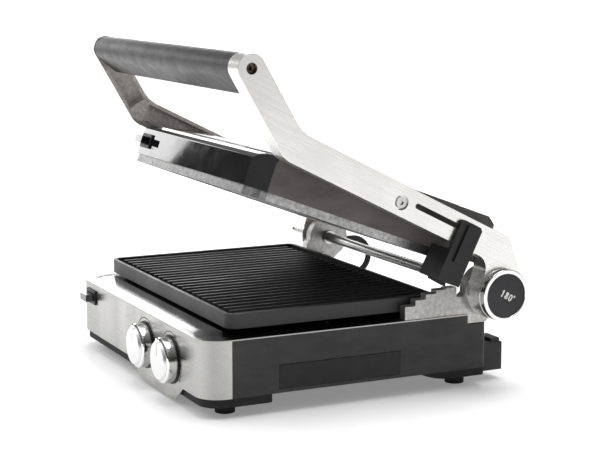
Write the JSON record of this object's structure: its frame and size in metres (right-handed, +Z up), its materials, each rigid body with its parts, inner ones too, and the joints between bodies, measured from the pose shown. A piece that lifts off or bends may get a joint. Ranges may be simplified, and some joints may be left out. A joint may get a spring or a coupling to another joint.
{
  "type": "panini press",
  "caption": "Contact grill with ribbed plates, a floating lid on side arms with a grip, a stepped height rest, two temperature knobs and a side drip tray.",
  "frame": {"origin": "centre of the bounding box at table level, under the feet", "axes": "+X to the right seen from the front, +Y to the back, +Z up; the lid stands in its raised rest position"},
  "size_m": [0.442, 0.3885, 0.35],
  "materials": {
    "arm_metal": "brushed, bright bevels",
    "base_plastic": "satin, fine grain",
    "black_trim": "satin",
    "brushed": "brushed along the width",
    "cast": "rough cast",
    "ceramic": "moulded insulation",
    "deck_steel": "satin",
    "element": "dull, heat tinted",
    "floor_plastic": "matt",
    "gloss_black": "high gloss",
    "grip": "dark brown-grey satin",
    "hub_chrome": "polished",
    "knob_chrome": "polished side",
    "knob_satin": "turned face, satin",
    "lead_rubber": "matt",
    "lid_plastic": "satin",
    "nonstick": "dark non-stick coating, satin",
    "reflector": "bright rolled",
    "rubber": "matt",
    "spring_steel": "plain",
    "steel_small": "plain",
    "upper_nonstick": "grey non-stick coating, satin"
  },
  "bodies": {
    "base": {"base_shell": "base_plastic", "base_floor": "floor_plastic", "front_panel": "brushed", "deck_plate": "deck_steel", "lower_plate": "nonstick", "lower_reflector": "reflector", "lower_element": "element", "thermostat_left": "ceramic", "thermostat_right": "ceramic", "knob_rings": "black_trim", "lower_bezel": "black_trim", "lower_spring": "spring_steel", "rack_bracket": "cast", "left_bracket": "cast", "bracket_bolts": "steel_small", "rubber_feet": "rubber", "floor_screws": "steel_small", "cord_gland": "black_trim", "cord_cleats": "base_plastic", "terminal_block": "ceramic", "lid_conduit": "lead_rubber"},
    "drawer": {"drip_tray": "base_plastic"},
    "left_control": {"knob_left": "knob_chrome", "knob_face_left": "knob_satin", "knob_shaft_left": "steel_small"},
    "right_control": {"knob_right": "knob_chrome", "knob_face_right": "knob_satin", "knob_shaft_right": "steel_small"},
    "lower_release": {"lower_button": "gloss_black"},
    "carrier": {"hinge_axle": "steel_small", "drum_right": "hub_chrome", "drum_left": "hub_chrome"},
    "arms": {"arm_right": "arm_metal", "arm_left": "arm_metal", "handle_grip": "grip", "handle_rod": "steel_small", "handle_screws": "steel_small", "hub_ring_right": "hub_chrome", "hub_ring_left": "hub_chrome", "hub_cap_left": "gloss_black", "pivot_screws": "steel_small", "fold_spring": "spring_steel"},
    "fold_release": {"fold_button": "gloss_black"},
    "lid_link": {"pivot_rod": "steel_small"},
    "slider": {"height_slider": "black_trim", "slider_pin": "steel_small", "slider_plate": "steel_small"},
    "lid": {"lid_cover": "gloss_black", "lid_shell": "lid_plastic", "lid_rear_cover": "lid_plastic", "upper_plate": "upper_nonstick", "upper_reflector": "reflector", "upper_element": "element", "upper_bezel": "black_trim", "upper_spring": "spring_steel"},
    "upper_release": {"upper_button": "gloss_black"}
  },
  "joints": [
    {"name": "lid_hinge", "type": "hinge", "parent": "base", "child": "carrier", "pos_m": [0, 0.13375, 0.1015], "axis": [-1, 0, 0], "range_deg": [-26.6, 0]},
    {"name": "flat_fold", "type": "hinge", "parent": "carrier", "child": "arms", "pos_m": [0, 0.13375, 0.1015], "axis": [-1, 0, 0], "range_deg": [0, 153.4]},
    {"name": "lid_tilt", "type": "hinge", "parent": "arms", "child": "lid_link", "pos_m": [0, 0.01664, 0.20264], "axis": [-1, 0, 0], "range_deg": [0, 6.11]},
    {"name": "lid_level", "type": "hinge", "parent": "lid_link", "child": "lid", "pos_m": [0, 0.01664, 0.20264], "axis": [-1, 0, 0], "range_deg": [0, 6.11]},
    {"name": "height_slide", "type": "slide", "parent": "arms", "child": "slider", "axis": [0, -0.8942, 0.4478], "range_m": [0, 0.0601]},
    {"name": "fold_press", "type": "slide", "parent": "arms", "child": "fold_release", "axis": [-1, 0, 0], "range_m": [0, 0.003], "stiffness_N_per_m": 600, "springref_m": -0.001, "deforming": ["fold_spring"]},
    {"name": "left_turn", "type": "hinge", "parent": "base", "child": "left_control", "pos_m": [0.028, -0.17925, 0.043], "axis": [0, 1, 0], "range_deg": [0, 270]},
    {"name": "right_turn", "type": "hinge", "parent": "base", "child": "right_control", "pos_m": [0.098, -0.17925, 0.043], "axis": [0, 1, 0], "range_deg": [0, 270]},
    {"name": "lower_press", "type": "slide", "parent": "base", "child": "lower_release", "axis": [0, 1, 0], "range_m": [0, 0.005], "stiffness_N_per_m": 500, "springref_m": -0.001, "deforming": ["lower_spring"]},
    {"name": "upper_press", "type": "slide", "parent": "lid", "child": "upper_release", "axis": [0, 0.9367, -0.3502], "range_m": [0, 0.005], "stiffness_N_per_m": 500, "springref_m": -0.001, "deforming": ["upper_spring"]},
    {"name": "tray_slide", "type": "slide", "parent": "base", "child": "drawer", "axis": [1, 0, 0], "range_m": [0, 0.2]}
  ],
  "couplings": [
    {"joint": "lid_tilt", "follows": "lid_hinge", "ratio": -0.22932},
    {"joint": "lid_level", "follows": "flat_fold", "ratio": 0.039765},
    {"joint": "height_slide", "follows": "lid_hinge", "m_per_rad": -0.12924}
  ]
}
